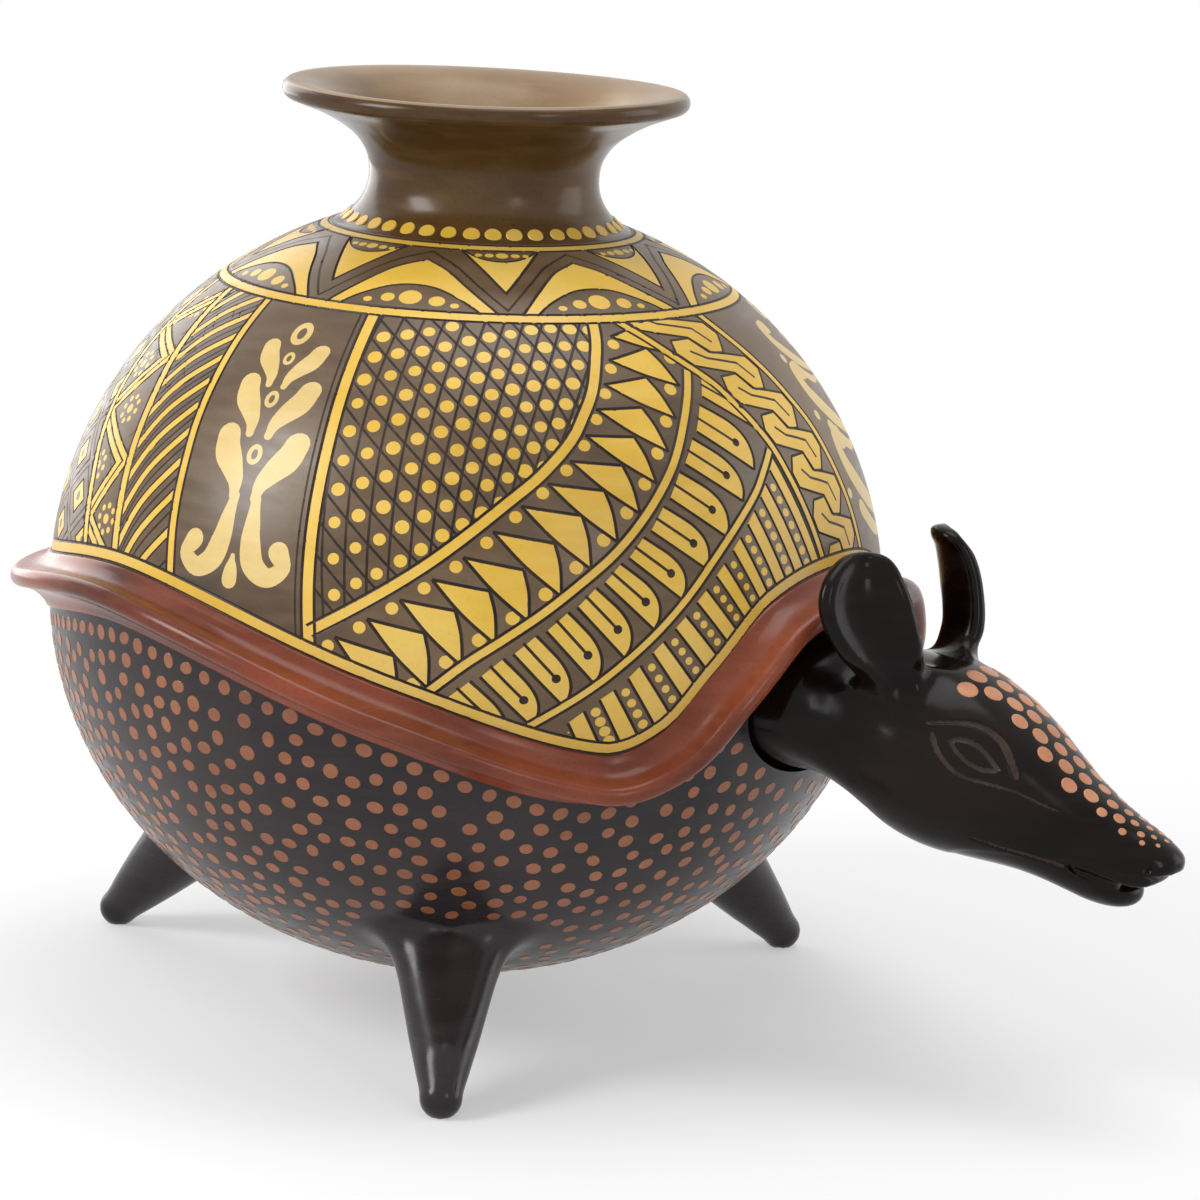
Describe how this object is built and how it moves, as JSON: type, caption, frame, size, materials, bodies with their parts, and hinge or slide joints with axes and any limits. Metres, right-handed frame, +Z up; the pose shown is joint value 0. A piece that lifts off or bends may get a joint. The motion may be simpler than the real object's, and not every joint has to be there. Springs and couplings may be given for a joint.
{
  "type": "armadillo effigy vessel",
  "caption": "Burnished clay vessel in the form of an armadillo: a round patterned body with a flared mouth, a wavy carapace brim, cone feet and a nodding head.",
  "frame": {"origin": "on the floor, under the middle of the whole vessel's bounding box", "axes": "+X towards the nose, +Z up out of the mouth, +Y to the animal's left"},
  "size_m": [0.3412, 0.251, 0.2549],
  "materials": {
    "painted_slip": "burnished brown and yellow slip with incised lines",
    "brown_slip": "burnished brown slip, streaky",
    "red_slip": "burnished red-brown slip",
    "dotted_slip": "burnished near-black slip with orange-brown dots",
    "black_slip": "burnished black-brown slip, high gloss",
    "raw_clay": "unpolished fired clay",
    "pin_wood": "plain wood"
  },
  "bodies": {
    "vessel": {"lower_bowl": "dotted_slip", "upper_dome": "painted_slip", "carapace_brim": "red_slip", "collar_neck": "brown_slip", "mouth_lip": "brown_slip", "foot_front_right": "black_slip", "foot_front_left": "black_slip", "foot_rear": "black_slip", "cradle_right": "raw_clay", "cradle_left": "raw_clay"},
    "head": {"neck_tube": "black_slip", "head": "black_slip", "ear_right": "black_slip", "ear_left": "black_slip", "counterweight": "raw_clay", "cross_pin": "pin_wood"}
  },
  "joints": [
    {"name": "head_nod", "type": "hinge", "parent": "vessel", "child": "head", "pos_m": [0.04634, 0, 0.10366], "axis": [0, 1, 0], "range_deg": [-3, 3]}
  ]
}
